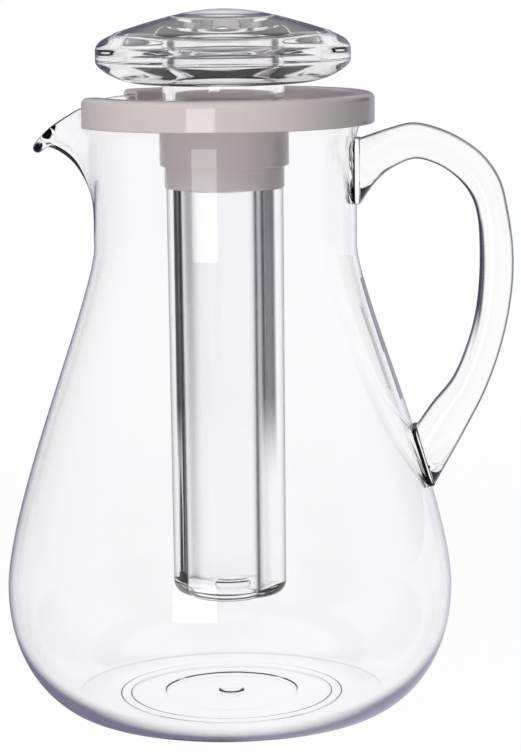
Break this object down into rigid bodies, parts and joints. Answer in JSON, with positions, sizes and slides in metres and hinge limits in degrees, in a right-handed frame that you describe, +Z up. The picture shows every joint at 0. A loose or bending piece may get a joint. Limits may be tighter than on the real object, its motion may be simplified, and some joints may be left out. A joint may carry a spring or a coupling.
{
  "type": "cooler jug",
  "caption": "Clear pear-shaped jug with a pulled spout, a cemented side handle, a grey lift-off lid ring, a hanging ice tube and a hollow round stopper.",
  "frame": {"origin": "on the jug's axis at its base, on the flat underside that stands 1.2 mm above the table inside the foot ring, with z = 0 the table", "axes": "+Z up along the jug's axis, +X towards the handle, the spout points to -X"},
  "size_m": [0.1926, 0.1692, 0.2648],
  "materials": {
    "clear_acrylic": "clear polished moulded acrylic",
    "grey_plastic": "warm light grey gloss moulding",
    "clear_silicone": "translucent soft silicone"
  },
  "bodies": {
    "jug": {"jug_body": "clear_acrylic", "handle": "clear_acrylic"},
    "lid_seat": {"lid_gasket": "clear_silicone"},
    "lid": {"lid_ring": "grey_plastic"},
    "stopper_seat": {"stopper_o_ring": "clear_silicone"},
    "stopper": {"stopper_base": "clear_acrylic", "stopper_cap": "clear_acrylic"},
    "tube_thread": {"tube_seal": "clear_silicone"},
    "tube": {"tube_collar": "grey_plastic", "ice_tube": "clear_acrylic"}
  },
  "joints": [
    {"name": "lid_lift", "type": "slide", "parent": "jug", "child": "lid_seat", "axis": [0, 0, 1], "range_m": [0, 0.2]},
    {"name": "lid_turn", "type": "hinge", "parent": "lid_seat", "child": "lid", "pos_m": [0, 0, 0.2335], "axis": [0, 0, 1], "range_deg": [-2, 16]},
    {"name": "stopper_lift", "type": "slide", "parent": "lid", "child": "stopper_seat", "axis": [0, 0, 1], "range_m": [0, 0.03]},
    {"name": "stopper_turn", "type": "hinge", "parent": "stopper_seat", "child": "stopper", "pos_m": [0, 0, 0.2364], "axis": [0, 0, 1], "continuous": true},
    {"name": "tube_unscrew", "type": "hinge", "parent": "lid", "child": "tube_thread", "pos_m": [0, 0, 0.2067], "axis": [0, 0, 1], "range_deg": [-720, 0]},
    {"name": "tube_drop", "type": "slide", "parent": "tube_thread", "child": "tube", "axis": [0, 0, 1], "range_m": [-0.0081, 0]}
  ],
  "couplings": [
    {"joint": "tube_drop", "follows": "tube_unscrew", "m_per_rad": 0.00063662}
  ]
}
